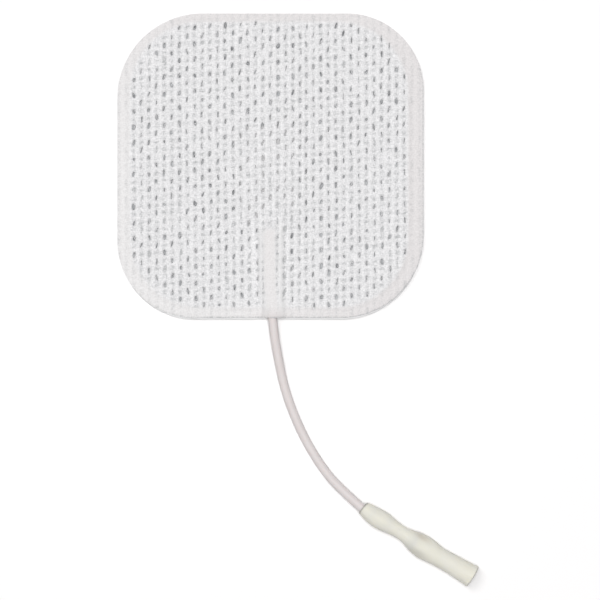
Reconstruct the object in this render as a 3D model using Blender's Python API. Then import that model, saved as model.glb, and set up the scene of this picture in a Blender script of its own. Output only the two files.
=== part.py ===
"""A stimulation electrode pad of 50 by 50 mm with a short lead and a 2 mm pin socket.

Metres, +Z up. The origin is the middle of the pad's skin face, which lies on the ground at z = 0.
From the skin up the pad is a sheet of hydrogel, a carbon film that is a little smaller, the bare
strands of the lead fanned out on the film under an insulating patch, and a white apertured cloth.
The lead leaves at the -Y edge, drops to the ground and ends in a crimped socket under shrunk tube.
"""

import math

import bmesh
import bpy
from mathutils import Vector

MM = 0.001

# The pad's outline, seen from above
PAD_WIDTH = 50.0 * MM
PAD_LENGTH = 50.0 * MM
PAD_CORNER_RADIUS = 13.2 * MM
CORNER_STEPS = 10

# The layers, from the skin up. A glue line is the thin adhesive between two of them, left open
GLUE_LINE = 0.03 * MM
GEL_THICKNESS = 0.90 * MM
GEL_SETBACK = 0.20 * MM
FILM_THICKNESS = 0.12 * MM
FILM_SIDE_MARGIN = 2.3 * MM
FILM_END_MARGIN = 1.7 * MM
FILM_SHIFT = Vector((-0.25 * MM, 0.30 * MM))
CLOTH_THICKNESS = 0.48 * MM

# The cloth's pattern: upright ribs, and slots between them that are set half a step apart
PATTERN_MIDDLE = Vector((-0.02 * MM, -0.05 * MM))
RIB_PITCH = 1.24 * MM
RIB_HEIGHT = 0.12 * MM
RIB_TOP_SHARE = 0.36
RIB_FOOT_SHARE = 0.36
SLOT_ROW_PITCH = 2.60 * MM
SLOT_WIDTH = 0.56 * MM
SLOT_LENGTH = 1.30 * MM
SLOT_EVERY_RIB = 3
SLOT_EVERY_ROW = 2
SLOT_EDGE_MARGIN = 0.3 * MM
SLOT_STEPS = 8

# The lead: where it leaves the pad, and how far it runs in under the cloth
LEAD_DIAMETER = 1.4 * MM
LEAD_EXIT_X = 0.35 * MM
LEAD_IN_PAD = 14.4 * MM
LEAD_CLEARANCE = 0.10 * MM
GROUND_CLEARANCE = 0.03 * MM
LEAD_POINT_SPACING = 2.8 * MM
CURVE_PIECES = 16

# The cloth's tent over the buried stretch of the lead
TENT_HALF_WIDTH = 2.4 * MM
TENT_CREST_HALF_WIDTH = 0.5 * MM
TENT_TAPER = 2.6 * MM
TENT_END_RISE = 0.02
TENT_STEPS = 6

# The bare end of the lead on the film, and the patch that covers it
STRAND_DIAMETER = 0.10 * MM
STRAND_COUNT = 7
STRAND_PITCH = 0.14 * MM
STRAND_DROP = 1.15 * MM
STRAND_DROP_SHARES = [(0.0, 1.0), (0.35, 0.75), (0.70, 0.20), (1.0, 0.0)]
STRAND_REACH = 15.6 * MM
STRAND_SPREAD = 1.15 * MM
PATCH_WIDTH = 9.5 * MM
PATCH_LENGTH = 15.8 * MM
PATCH_THICKNESS = 0.08 * MM
PATCH_CORNER_RADIUS = 1.0 * MM
PATCH_START = 1.4 * MM

# The pin socket, a rolled metal tube, along its own axis from the lead's side
CRIMP_LENGTH = 3.0 * MM
CRIMP_STEP = 1.0 * MM
NECK_LENGTH = 2.4 * MM
NECK_STEP = 1.8 * MM
COLLAR_LENGTH = 2.2 * MM
COLLAR_STEP = 0.6 * MM
BARREL_LENGTH = 7.5 * MM
COLLAR_RADIUS = 1.60 * MM
CRIMP_WALL = 0.45 * MM
NECK_WALL = 0.35 * MM
BARREL_WALL = 0.25 * MM
PIN_DIAMETER = 2.0 * MM
PIN_CLEARANCE = 0.03 * MM
BARE_RADIUS = 0.35 * MM
CRIMP_CLEARANCE = 0.08 * MM
LEAD_STOP = 0.3 * MM
TURN_STEPS = 24

# The shrunk tube over the socket
SLEEVE_WALL = 0.28 * MM
SLEEVE_GAP = 0.06 * MM
SLEEVE_LEAD_ROOM = 0.05 * MM
SLEEVE_OVER_LEAD = 1.8 * MM
SLEEVE_PAST_MOUTH = 0.8 * MM
SLEEVE_LAP = 0.25 * MM
SLEEVE_SLOPE = 1.2 * MM
SLEEVE_FLARE = 0.20 * MM

# The connector's place: its near end, from the point where the lead leaves the pad, and its heading
CONNECTOR_FROM_EXIT = Vector((14.73 * MM, -30.87 * MM))
CONNECTOR_HEADING = math.radians(-32.0)

# Worked out from the sizes above
GEL_TOP = GEL_THICKNESS
FILM_LOW = GEL_TOP + GLUE_LINE
FILM_TOP = FILM_LOW + FILM_THICKNESS
FILM_WIDTH = PAD_WIDTH - 2 * FILM_SIDE_MARGIN
FILM_LENGTH = PAD_LENGTH - 2 * FILM_END_MARGIN
FILM_CORNER_RADIUS = PAD_CORNER_RADIUS - FILM_END_MARGIN
CLOTH_LOW = GEL_TOP + GLUE_LINE
CLOTH_OVER_FILM = FILM_TOP + GLUE_LINE
BORDER_TOP = CLOTH_LOW + CLOTH_THICKNESS
VALLEY_TOP = CLOTH_OVER_FILM + CLOTH_THICKNESS
RIB_TOP = VALLEY_TOP + RIB_HEIGHT
STRAND_RADIUS = STRAND_DIAMETER / 2
STRAND_Z = FILM_TOP + GLUE_LINE + STRAND_RADIUS
PATCH_LOW = STRAND_Z + STRAND_RADIUS + GLUE_LINE
PATCH_TOP = PATCH_LOW + PATCH_THICKNESS
LEAD_RADIUS = LEAD_DIAMETER / 2
LEAD_ON_FILM = FILM_TOP + GLUE_LINE + LEAD_RADIUS
LEAD_ON_GROUND = GROUND_CLEARANCE + LEAD_RADIUS
LEAD_EXIT = Vector((LEAD_EXIT_X, -PAD_LENGTH / 2))
TENT_INSIDE_TOP = LEAD_ON_FILM + LEAD_RADIUS + LEAD_CLEARANCE
TENT_TOP = TENT_INSIDE_TOP + CLOTH_THICKNESS
CRIMP_BORE = LEAD_RADIUS + CRIMP_CLEARANCE
CRIMP_RADIUS = CRIMP_BORE + CRIMP_WALL
NECK_BORE = BARE_RADIUS + CRIMP_CLEARANCE
NECK_RADIUS = NECK_BORE + NECK_WALL
PIN_BORE = PIN_DIAMETER / 2 + PIN_CLEARANCE
BARREL_RADIUS = PIN_BORE + BARREL_WALL
SLEEVE_THICKNESS = SLEEVE_GAP + SLEEVE_WALL
CONNECTOR_Z = GROUND_CLEARANCE + COLLAR_RADIUS + SLEEVE_THICKNESS
CONNECTOR_START = LEAD_EXIT + CONNECTOR_FROM_EXIT

# Stations along the connector's axis, from its near end
CRIMP_START = SLEEVE_OVER_LEAD
CRIMP_END = CRIMP_START + CRIMP_LENGTH
NECK_START = CRIMP_END + CRIMP_STEP
NECK_END = NECK_START + NECK_LENGTH
COLLAR_START = NECK_END + NECK_STEP
COLLAR_END = COLLAR_START + COLLAR_LENGTH
BARREL_START = COLLAR_END + COLLAR_STEP
MOUTH = BARREL_START + BARREL_LENGTH
SLEEVE_END = MOUTH + SLEEVE_PAST_MOUTH

# The lead's route in plan, from the point where it leaves the pad: the buried stretch, then the free
# one with its height, given as shares of the way up to the film and up to the connector's axis
BURIED_ROUTE = [
    (-0.52 * MM, 1.00),
    (-0.50 * MM, 0.76),
    (-0.46 * MM, 0.52),
    (-0.32 * MM, 0.26),
]
FREE_ROUTE = [
    (0.00 * MM, 0.0 * MM, 1.00, 0.0),
    (0.35 * MM, -3.0 * MM, 0.86, 0.0),
    (0.95 * MM, -6.5 * MM, 0.45, 0.0),
    (1.80 * MM, -10.5 * MM, 0.08, 0.0),
    (3.00 * MM, -14.3 * MM, 0.00, 0.0),
    (4.65 * MM, -18.2 * MM, 0.00, 0.0),
    (6.65 * MM, -21.9 * MM, 0.00, 0.04),
    (9.30 * MM, -25.7 * MM, 0.00, 0.38),
    (12.05 * MM, -28.5 * MM, 0.00, 0.80),
]


def clear_scene():
    for obj in list(bpy.data.objects):
        bpy.data.objects.remove(obj, do_unlink=True)


def material(name, colour, roughness, metallic=0.0):
    made = bpy.data.materials.new(name)
    made.use_nodes = True
    shader = made.node_tree.nodes["Principled BSDF"]
    shader.inputs["Base Color"].default_value = (*colour, 1.0)
    shader.inputs["Roughness"].default_value = roughness
    shader.inputs["Metallic"].default_value = metallic
    made.diffuse_color = (*colour, 1.0)
    return made


def add_mesh(name, shape, finish=None, smooth_under=None):
    """Turns a bmesh into a linked object; smooth_under is the angle up to which edges are smooth."""
    bmesh.ops.recalc_face_normals(shape, faces=shape.faces)
    mesh = bpy.data.meshes.new(name)
    shape.to_mesh(mesh)
    shape.free()
    if smooth_under is not None:
        mesh.shade_smooth()
        mesh.set_sharp_from_angle(angle=smooth_under)
    if finish is not None:
        mesh.materials.append(finish)
    obj = bpy.data.objects.new(name, mesh)
    bpy.context.scene.collection.objects.link(obj)
    return obj


def as_helper(obj):
    """Keeps a cutting or joining shape out of the finished part."""
    obj.hide_render = True
    obj.display_type = "WIRE"
    return obj


def combine(obj, other, operation):
    boolean = obj.modifiers.new(other.name, "BOOLEAN")
    boolean.operation = operation
    boolean.solver = "EXACT"
    boolean.object = as_helper(other)


def rounded_rectangle(width, length, radius, centre=(0.0, 0.0)):
    """Points round a rectangle with rounded corners, anticlockwise."""
    radius = min(radius, width / 2, length / 2)
    points = []
    for corner in range(4):
        start = corner * math.pi / 2
        side_x = 1 if corner in (0, 3) else -1
        side_y = 1 if corner in (0, 1) else -1
        middle_x = centre[0] + side_x * (width / 2 - radius)
        middle_y = centre[1] + side_y * (length / 2 - radius)
        for step in range(CORNER_STEPS + 1):
            angle = start + step / CORNER_STEPS * math.pi / 2
            points.append((middle_x + radius * math.cos(angle), middle_y + radius * math.sin(angle)))
    return points


def prism(outline, low, high):
    """An upright solid over a flat outline."""
    shape = bmesh.new()
    floor = shape.faces.new([shape.verts.new((x, y, low)) for x, y in outline])
    raised = bmesh.ops.extrude_face_region(shape, geom=[floor])
    top = [item for item in raised["geom"] if isinstance(item, bmesh.types.BMVert)]
    bmesh.ops.translate(shape, verts=top, vec=(0, 0, high - low))
    return shape


def turned(profile):
    """A ring-shaped solid: a closed outline of (station, radius) points turned about the X axis."""
    shape = bmesh.new()
    corners = [shape.verts.new((along, 0, radius)) for along, radius in profile]
    for first, second in zip(corners, corners[1:] + corners[:1]):
        shape.edges.new((first, second))
    bmesh.ops.spin(
        shape,
        geom=shape.verts[:] + shape.edges[:],
        cent=(0, 0, 0),
        axis=(1, 0, 0),
        angle=2 * math.pi,
        steps=TURN_STEPS,
        use_merge=True,
    )
    return shape


def smooth_line(points, spacing):
    """Evenly spaced points on a smooth curve through the given ones, its two ends included."""
    ghosts = [2 * points[0] - points[1], *points, 2 * points[-1] - points[-2]]
    fine = []
    for before, start, end, after in zip(ghosts, ghosts[1:], ghosts[2:], ghosts[3:]):
        for index in range(CURVE_PIECES):
            t = index / CURVE_PIECES
            bend = 2 * before - 5 * start + 4 * end - after
            turn = 3 * start - before - 3 * end + after
            fine.append(start + 0.5 * t * ((end - before) + t * (bend + t * turn)))
    fine.append(points[-1])
    lengths = [(end - start).length for start, end in zip(fine, fine[1:])]
    spacing = sum(lengths) / round(sum(lengths) / spacing)
    line = [fine[0]]
    walked = 0.0
    for start, end, length in zip(fine, fine[1:], lengths):
        walked += length
        if walked >= len(line) * spacing:
            line.append(end + (start - end) * (walked - len(line) * spacing) / length)
    return [*line[: round(sum(lengths) / spacing)], fine[-1]]


def tube(name, points, radius, finish):
    """A round cord through the points, with closed ends."""
    curve = bpy.data.curves.new(name, "CURVE")
    curve.dimensions = "3D"
    curve.bevel_depth = radius
    curve.bevel_resolution = 2
    curve.use_fill_caps = True
    spline = curve.splines.new("POLY")
    spline.points.add(len(points) - 1)
    for point, place in zip(spline.points, points):
        point.co = (*place, 1.0)
    curve.materials.append(finish)
    obj = bpy.data.objects.new(name, curve)
    bpy.context.scene.collection.objects.link(obj)
    return obj


def film_outline(grow=0.0):
    width = FILM_WIDTH + 2 * grow
    length = FILM_LENGTH + 2 * grow
    return rounded_rectangle(width, length, FILM_CORNER_RADIUS + grow, FILM_SHIFT)


def buried_points():
    """The lead's centreline under the cloth, from its cut end to the pad's edge."""
    return [
        Vector((LEAD_EXIT.x + side, LEAD_EXIT.y + share * LEAD_IN_PAD, LEAD_ON_FILM))
        for side, share in BURIED_ROUTE
    ]


def connector_point(along):
    """A point on the connector's axis."""
    heading = Vector((math.cos(CONNECTOR_HEADING), math.sin(CONNECTOR_HEADING)))
    return Vector((*(CONNECTOR_START + along * heading), CONNECTOR_Z))


def free_points():
    points = []
    for across, ahead, film_share, connector_share in FREE_ROUTE:
        height = (
            LEAD_ON_GROUND
            + film_share * (LEAD_ON_FILM - LEAD_ON_GROUND)
            + connector_share * (CONNECTOR_Z - LEAD_ON_GROUND)
        )
        points.append(Vector((LEAD_EXIT.x + across, LEAD_EXIT.y + ahead, height)))
    return points


def hydrogel():
    outline = rounded_rectangle(
        PAD_WIDTH - 2 * GEL_SETBACK, PAD_LENGTH - 2 * GEL_SETBACK, PAD_CORNER_RADIUS - GEL_SETBACK
    )
    finish = material("clear hydrogel", (0.72, 0.76, 0.78), 0.12)
    return add_mesh("hydrogel", prism(outline, 0.0, GEL_TOP), finish)


def carbon_film():
    finish = material("carbon film", (0.03, 0.03, 0.035), 0.5)
    return add_mesh("carbon_film", prism(film_outline(), FILM_LOW, FILM_TOP), finish)


def patch_outline(grow=0.0):
    middle_x = LEAD_EXIT.x + BURIED_ROUTE[0][0]
    middle_y = LEAD_EXIT.y + LEAD_IN_PAD + PATCH_START + PATCH_LENGTH / 2
    width = PATCH_WIDTH + 2 * grow
    length = PATCH_LENGTH + 2 * grow
    return rounded_rectangle(width, length, PATCH_CORNER_RADIUS + grow, (middle_x, middle_y))


def lead_patch():
    finish = material("insulating patch", (0.80, 0.74, 0.72), 0.5)
    return add_mesh("lead_patch", prism(patch_outline(), PATCH_LOW, PATCH_TOP), finish)


def rib_panel():
    """The ribbed middle of the cloth: a wavy profile drawn out along Y and trimmed to the film's shape."""
    half_ribs = math.ceil((FILM_WIDTH / 2 + CLOTH_THICKNESS + abs(FILM_SHIFT.x)) / RIB_PITCH)
    ribs = 2 * half_ribs
    left = PATTERN_MIDDLE.x - half_ribs * RIB_PITCH
    foot = RIB_FOOT_SHARE * RIB_PITCH
    crown = RIB_TOP_SHARE * RIB_PITCH
    slope = (RIB_PITCH - foot - crown) / 2
    wave = []
    for rib in range(ribs):
        start = left + rib * RIB_PITCH + foot / 2
        wave.append((start, VALLEY_TOP))
        wave.append((start + slope, RIB_TOP))
        wave.append((start + slope + crown, RIB_TOP))
        wave.append((start + RIB_PITCH - foot, VALLEY_TOP))
    low = (CLOTH_LOW + CLOTH_OVER_FILM) / 2
    profile = [(left, low), (left, VALLEY_TOP), *wave]
    profile += [(left + ribs * RIB_PITCH, VALLEY_TOP), (left + ribs * RIB_PITCH, low)]
    near = -PAD_LENGTH / 2
    shape = bmesh.new()
    end = shape.faces.new([shape.verts.new((x, near, z)) for x, z in profile])
    drawn = bmesh.ops.extrude_face_region(shape, geom=[end])
    far = [item for item in drawn["geom"] if isinstance(item, bmesh.types.BMVert)]
    bmesh.ops.translate(shape, verts=far, vec=(0, PAD_LENGTH, 0))
    panel = add_mesh("rib_panel", shape)
    trim = prism(film_outline(CLOTH_THICKNESS), 0.0, 2 * RIB_TOP)
    combine(panel, add_mesh("rib_panel_trim", trim), "INTERSECT")
    return panel


def tent(name, base_z, foot_z, top_z, half_width, mouth_y, taper):
    """A bell-shaped ridge over the buried lead, from the pad's edge to past the lead's cut end."""
    crest = TENT_CREST_HALF_WIDTH
    section = []
    for step in range(TENT_STEPS + 1):
        share = step / TENT_STEPS
        side = half_width - share * (half_width - crest)
        section.append((side, 0.5 - 0.5 * math.cos(share * math.pi)))
    section += [(-side, height) for side, height in reversed(section)]
    first = buried_points()[0]
    places = [Vector((LEAD_EXIT.x, mouth_y)), *(point.xy for point in reversed(buried_points()))]
    rings = [(place, 1.0) for place in places]
    rings.append((first.xy + Vector((0, taper / 2)), 0.5))
    rings.append((first.xy + Vector((0, taper)), TENT_END_RISE))
    shape = bmesh.new()
    rows = []
    for place, rise in rings:
        row = [shape.verts.new((place.x + half_width, place.y, base_z))]
        for side, height in section:
            z = foot_z + height * rise * (top_z - foot_z)
            row.append(shape.verts.new((place.x + side, place.y, z)))
        row.append(shape.verts.new((place.x - half_width, place.y, base_z)))
        edges = [shape.edges.new(pair) for pair in zip(row, row[1:] + row[:1])]
        rows.append(edges)
    for near, far in zip(rows, rows[1:]):
        bmesh.ops.bridge_loops(shape, edges=near + far)
    bmesh.ops.holes_fill(shape, edges=rows[0] + rows[-1], sides=len(rows[0]))
    return add_mesh(name, shape)


def in_tent(x, y):
    end = LEAD_EXIT.y + LEAD_IN_PAD + TENT_TAPER
    side = abs(x - LEAD_EXIT.x - BURIED_ROUTE[1][0])
    return y < end + SLOT_LENGTH and side < TENT_HALF_WIDTH + SLOT_WIDTH


def on_film(x, y):
    """Whether a slot at this place lies over the film, its rounded corners counted."""
    half_width = FILM_WIDTH / 2 - SLOT_EDGE_MARGIN - SLOT_WIDTH / 2
    half_length = FILM_LENGTH / 2 - SLOT_EDGE_MARGIN - SLOT_LENGTH / 2
    radius = FILM_CORNER_RADIUS - SLOT_EDGE_MARGIN
    side = abs(x - FILM_SHIFT.x)
    ahead = abs(y - FILM_SHIFT.y)
    if side > half_width or ahead > half_length:
        return False
    corner = Vector((side - half_width + radius, ahead - half_length + radius))
    return corner.x < 0 or corner.y < 0 or corner.length < radius


def slot_places():
    """Middles of the slots, in every third valley and every second row, staggered."""
    column_pitch = SLOT_EVERY_RIB * RIB_PITCH
    row_pitch = SLOT_EVERY_ROW * SLOT_ROW_PITCH
    columns = math.ceil(FILM_WIDTH / 2 / column_pitch)
    rows = math.ceil(FILM_LENGTH / 2 / row_pitch) + 1
    for column in range(-columns, columns + 1):
        x = PATTERN_MIDDLE.x + column * column_pitch
        for row in range(-rows, rows + 1):
            y = PATTERN_MIDDLE.y + (row + 0.5 * (column % 2)) * row_pitch
            if on_film(x, y) and not in_tent(x, y):
                yield x, y


def slot_cutter():
    """All the slots as one set of upright prisms with rounded ends."""
    shape = bmesh.new()
    half_width = SLOT_WIDTH / 2
    straight = SLOT_LENGTH / 2 - half_width
    for x, y in slot_places():
        outline = []
        for step in range(SLOT_STEPS):
            angle = (2 * step + 1) * math.pi / SLOT_STEPS
            end = straight if math.sin(angle) > 0 else -straight
            across = half_width * math.cos(angle)
            ahead = end + half_width * math.sin(angle)
            outline.append(shape.verts.new((x + across, y + ahead, CLOTH_LOW / 2)))
        floor = shape.faces.new(outline)
        raised = bmesh.ops.extrude_face_region(shape, geom=[floor])
        top = [item for item in raised["geom"] if isinstance(item, bmesh.types.BMVert)]
        bmesh.ops.translate(shape, verts=top, vec=(0, 0, 2 * RIB_TOP))
    return add_mesh("slot_cutter", shape)


def backing_cloth():
    """The cloth: a smooth border, the ribbed middle, the tent over the lead and the open slots."""
    outline = rounded_rectangle(PAD_WIDTH, PAD_LENGTH, PAD_CORNER_RADIUS)
    finish = material("white non-woven cloth", (0.76, 0.76, 0.78), 0.9)
    cloth = add_mesh("backing_cloth", prism(outline, CLOTH_LOW, BORDER_TOP), finish)
    edge = -PAD_LENGTH / 2
    outside = tent(
        "tent_outside",
        CLOTH_LOW + 0.25 * CLOTH_THICKNESS,
        CLOTH_LOW + 0.50 * CLOTH_THICKNESS,
        TENT_TOP,
        TENT_HALF_WIDTH,
        edge + GLUE_LINE,
        TENT_TAPER,
    )
    inside = tent(
        "tent_inside",
        CLOTH_LOW - GLUE_LINE,
        CLOTH_LOW + GLUE_LINE,
        TENT_INSIDE_TOP,
        TENT_HALF_WIDTH - CLOTH_THICKNESS,
        edge - LEAD_DIAMETER,
        TENT_TAPER - CLOTH_THICKNESS,
    )
    film_pocket = prism(film_outline(GLUE_LINE), 0.0, CLOTH_OVER_FILM)
    patch_pocket = prism(patch_outline(GLUE_LINE), 0.0, PATCH_TOP + GLUE_LINE)
    combine(cloth, rib_panel(), "UNION")
    combine(cloth, outside, "UNION")
    combine(cloth, add_mesh("film_pocket", film_pocket), "DIFFERENCE")
    combine(cloth, add_mesh("patch_pocket", patch_pocket), "DIFFERENCE")
    combine(cloth, inside, "DIFFERENCE")
    combine(cloth, slot_cutter(), "DIFFERENCE")
    return cloth


def conductor_strands():
    """The lead's bared strands: a flat bundle at the cut end that drops to the film and fans out."""
    finish = material("tinned copper", (0.70, 0.52, 0.44), 0.35, 1.0)
    start = buried_points()[0] + Vector((0, 2 * GLUE_LINE, 0))
    for index in range(STRAND_COUNT):
        place = index - (STRAND_COUNT - 1) / 2
        near_x = start.x + place * STRAND_PITCH
        route = []
        for way, height in STRAND_DROP_SHARES:
            z = STRAND_Z + height * (LEAD_ON_FILM - STRAND_Z)
            route.append(Vector((near_x, start.y + way * STRAND_DROP, z)))
        route.append(Vector((start.x + place * STRAND_SPREAD, start.y + STRAND_REACH, STRAND_Z)))
        tube(f"conductor_strand_{index + 1}", route, STRAND_RADIUS, finish)


def lead_wire():
    """The insulated lead, from its cut end under the cloth to its cut end in the crimp."""
    finish = material("translucent lead insulation", (0.70, 0.64, 0.64), 0.35)
    in_connector = [connector_point(at) for at in (0.0, CRIMP_START, CRIMP_END - LEAD_STOP)]
    route = [*buried_points(), *free_points(), *in_connector]
    return tube("lead_wire", smooth_line(route, LEAD_POINT_SPACING), LEAD_RADIUS, finish)


def connector_socket(axis):
    """The pin socket: insulation crimp, conductor crimp, collar and barrel in one rolled tube."""
    outside = [
        (CRIMP_START, CRIMP_RADIUS),
        (CRIMP_END, CRIMP_RADIUS),
        (NECK_START, NECK_RADIUS),
        (NECK_END, NECK_RADIUS),
        (COLLAR_START, COLLAR_RADIUS),
        (COLLAR_END, COLLAR_RADIUS),
        (BARREL_START, BARREL_RADIUS),
        (MOUTH, BARREL_RADIUS),
    ]
    inside = [
        (MOUTH, PIN_BORE),
        (COLLAR_START, PIN_BORE),
        (NECK_END, NECK_BORE),
        (NECK_START, NECK_BORE),
        (CRIMP_END, CRIMP_BORE),
        (CRIMP_START, CRIMP_BORE),
    ]
    finish = material("nickel-plated brass", (0.66, 0.64, 0.60), 0.25, 1.0)
    obj = add_mesh("connector_socket", turned(outside + inside), finish, math.radians(40))
    obj.parent = axis
    return obj


def connector_sleeve(axis):
    """The shrunk tube: it follows the lead and the socket below it at a constant wall."""
    followed = [
        (0.0, LEAD_RADIUS + SLEEVE_LEAD_ROOM),
        (CRIMP_START - SLEEVE_LAP, CRIMP_RADIUS),
        (CRIMP_END + SLEEVE_LAP, CRIMP_RADIUS),
        (NECK_START + SLEEVE_LAP, NECK_RADIUS),
        (NECK_END - SLEEVE_LAP, NECK_RADIUS),
        (COLLAR_START - SLEEVE_LAP, COLLAR_RADIUS),
        (COLLAR_END + SLEEVE_LAP, COLLAR_RADIUS),
        (BARREL_START + SLEEVE_SLOPE, BARREL_RADIUS),
        (MOUTH, BARREL_RADIUS),
        (SLEEVE_END, BARREL_RADIUS + SLEEVE_FLARE),
    ]
    outside = [(along, radius + SLEEVE_THICKNESS) for along, radius in followed]
    inside = [(along, radius + SLEEVE_GAP) for along, radius in reversed(followed)]
    finish = material("ivory shrunk tube", (0.78, 0.77, 0.69), 0.45)
    obj = add_mesh("connector_sleeve", turned(outside + inside), finish, math.radians(40))
    obj.parent = axis
    return obj


def conductor_tail(axis):
    """The bared conductor at the lead's other end, held in the socket's conductor crimp."""
    start = CRIMP_END - LEAD_STOP + 2 * GLUE_LINE
    length = NECK_END - start
    shape = bmesh.new()
    bmesh.ops.create_cone(
        shape,
        cap_ends=True,
        segments=TURN_STEPS // 2,
        radius1=BARE_RADIUS,
        radius2=BARE_RADIUS,
        depth=length,
    )
    finish = material("tinned copper tail", (0.70, 0.52, 0.44), 0.35, 1.0)
    obj = add_mesh("conductor_tail", shape, finish, math.radians(40))
    obj.rotation_euler = (0, math.pi / 2, 0)
    obj.location = (start + length / 2, 0, 0)
    obj.parent = axis
    return obj


def connector_axis():
    """An empty at the connector's near end, with X along the socket."""
    axis = bpy.data.objects.new("connector_axis", None)
    axis.location = connector_point(0.0)
    axis.rotation_euler = (0, 0, CONNECTOR_HEADING)
    bpy.context.scene.collection.objects.link(axis)
    return axis


clear_scene()
hydrogel()
carbon_film()
conductor_strands()
lead_patch()
backing_cloth()
lead_wire()
connector = connector_axis()
conductor_tail(connector)
connector_socket(connector)
connector_sleeve(connector)
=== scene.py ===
"""The looks of a square stimulation electrode pad with a short lead and a sleeved pin socket.

Metres, +Z up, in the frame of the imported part: the skin face lies on the floor at z = 0, the cloth
is up, and the lead leaves the -Y edge.
"""

import math
import random

import bmesh
import bpy
from mathutils import Matrix, Vector, noise


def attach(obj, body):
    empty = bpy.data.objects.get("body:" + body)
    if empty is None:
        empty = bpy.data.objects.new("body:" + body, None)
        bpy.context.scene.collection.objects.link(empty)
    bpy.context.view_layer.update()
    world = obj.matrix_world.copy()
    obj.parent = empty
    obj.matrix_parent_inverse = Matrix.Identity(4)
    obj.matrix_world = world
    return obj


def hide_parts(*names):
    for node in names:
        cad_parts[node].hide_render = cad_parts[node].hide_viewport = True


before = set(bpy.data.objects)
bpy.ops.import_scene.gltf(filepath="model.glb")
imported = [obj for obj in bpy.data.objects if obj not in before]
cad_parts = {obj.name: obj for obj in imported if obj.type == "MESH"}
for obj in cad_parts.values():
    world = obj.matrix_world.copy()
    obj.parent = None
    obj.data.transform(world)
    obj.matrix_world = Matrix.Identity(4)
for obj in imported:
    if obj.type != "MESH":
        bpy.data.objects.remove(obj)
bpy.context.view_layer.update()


# Hydrogel: the skin face, a sheet of clear water-based gel that was cast on the film and die cut
# with it. It is soft and tacky, so its rims are rounded. It lies a little nearer the lead's edge
# than the cloth does, so it shows past the cloth there and stands back at the other edges.
MM = 0.001
PAD_SIZE = 50.0 * MM
# The die has worn: each corner has its own radius, by the signs of its x and y
CORNER_RADII = {(1, 1): 12.5 * MM, (-1, 1): 13.9 * MM, (-1, -1): 12.6 * MM, (1, -1): 13.4 * MM}
CORNER_CUTS = 18
GEL_SETBACK = 0.20 * MM
GEL_SLIP = -0.18 * MM
GEL_THICKNESS = 0.90 * MM
GEL_RIM = 0.14 * MM
FILM_MIDDLE = Vector((-0.25, 0.30)) * MM
FILM_HALF = Vector((22.70, 23.30)) * MM
FILM_CORNER_RADIUS = 11.5 * MM
FILM_EDGE_BLUR = 0.12 * MM
RIPPLE_SIZE = 3.846 * MM
RIPPLE_DEPTH = 0.05 * MM
TACK_SIZE = 0.7143 * MM
# How much light goes through its face, and through its frosted wall and rim
FACE_CLEARNESS = 0.3
RIM_CLEARNESS = 0.1


def linear(code):
    """An sRGB hex colour as linear RGBA."""
    parts = [int(code[at:at + 2], 16) / 255 for at in (1, 3, 5)]
    return (*[
        part / 12.92 if part < 0.04045 else ((part + 0.055) / 1.055) ** 2.4 for part in parts
    ], 1.0)


def set_sockets(tree, node, inputs):
    """Gives each named input its value, or a link from another node's output."""
    for name, value in inputs.items():
        if isinstance(value, bpy.types.NodeSocket):
            tree.links.new(value, node.inputs[name])
        else:
            node.inputs[name].default_value = value
    return node


def add_node(tree, kind, inputs, **settings):
    """Adds a node of that kind with its settings and its inputs."""
    node = tree.nodes.new(kind)
    for name, value in settings.items():
        setattr(node, name, value)
    return set_sockets(tree, node, inputs)


def new_material(name):
    """A material's own nodes: the material, its tree and its Principled shader."""
    material = bpy.data.materials.new(name)
    material.use_nodes = True
    return material, material.node_tree, material.node_tree.nodes["Principled BSDF"]


def add_piece(shape, name, material, stands_for, sharp_over=35):
    """Turns a bmesh into a piece that rides on the part's one body and stands for some CAD nodes."""
    mesh = bpy.data.meshes.new(name)
    shape.to_mesh(mesh)
    shape.free()
    mesh.shade_smooth()
    mesh.set_sharp_from_angle(angle=math.radians(sharp_over))
    mesh.materials.append(material)
    piece = bpy.data.objects.new(name, mesh)
    bpy.context.scene.collection.objects.link(piece)
    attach(piece, "root")
    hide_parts(*stands_for)
    return piece


def cut_outline(shape, setback, slip=0.0, lower_setback=0.0):
    """Trims a flat shape to the pad's rounded outline, with a row of straight cuts per corner."""
    for (right, up), radius in CORNER_RADII.items():
        reach = PAD_SIZE / 2 - radius
        for cut in range(CORNER_CUTS + 1):
            angle = cut / CORNER_CUTS * math.pi / 2
            outward = Vector((right * math.cos(angle), up * math.sin(angle), 0))
            inner = setback + (lower_setback * math.sin(angle) if up < 0 else 0.0)
            bmesh.ops.bisect_plane(
                shape, geom=shape.verts[:] + shape.edges[:] + shape.faces[:], dist=1e-7,
                plane_co=Vector((right * reach, up * reach + slip, 0)) + outward * (radius - inner),
                plane_no=outward, clear_outer=True,
            )


# The eye gets a clear, wet and slightly rippled sheet. What shows through it from below is drawn in
# its own colour: the film's black, and round that the cloth's white. Its cut wall and the rim that
# it shows past the cloth are frosted, so they look milky
gel_look, tree, shader = new_material("cast clear hydrogel")
place = add_node(tree, "ShaderNodeTexCoord", {}).outputs["Object"]
ripple = add_node(
    tree, "ShaderNodeTexNoise", {"Vector": place, "Scale": 1 / RIPPLE_SIZE, "Detail": 2.0}
)
tack = add_node(tree, "ShaderNodeTexNoise", {"Vector": place, "Scale": 1 / TACK_SIZE, "Detail": 3.0})
gloss = add_node(
    tree, "ShaderNodeMapRange",
    {"Value": tack.outputs["Fac"], "From Min": 0.3, "From Max": 0.7, "To Min": 0.05, "To Max": 0.16},
)
dimple = add_node(
    tree, "ShaderNodeBump",
    {"Height": ripple.outputs["Fac"], "Strength": 0.35, "Distance": RIPPLE_DEPTH},
)
surface = add_node(tree, "ShaderNodeNewGeometry", {})
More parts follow.
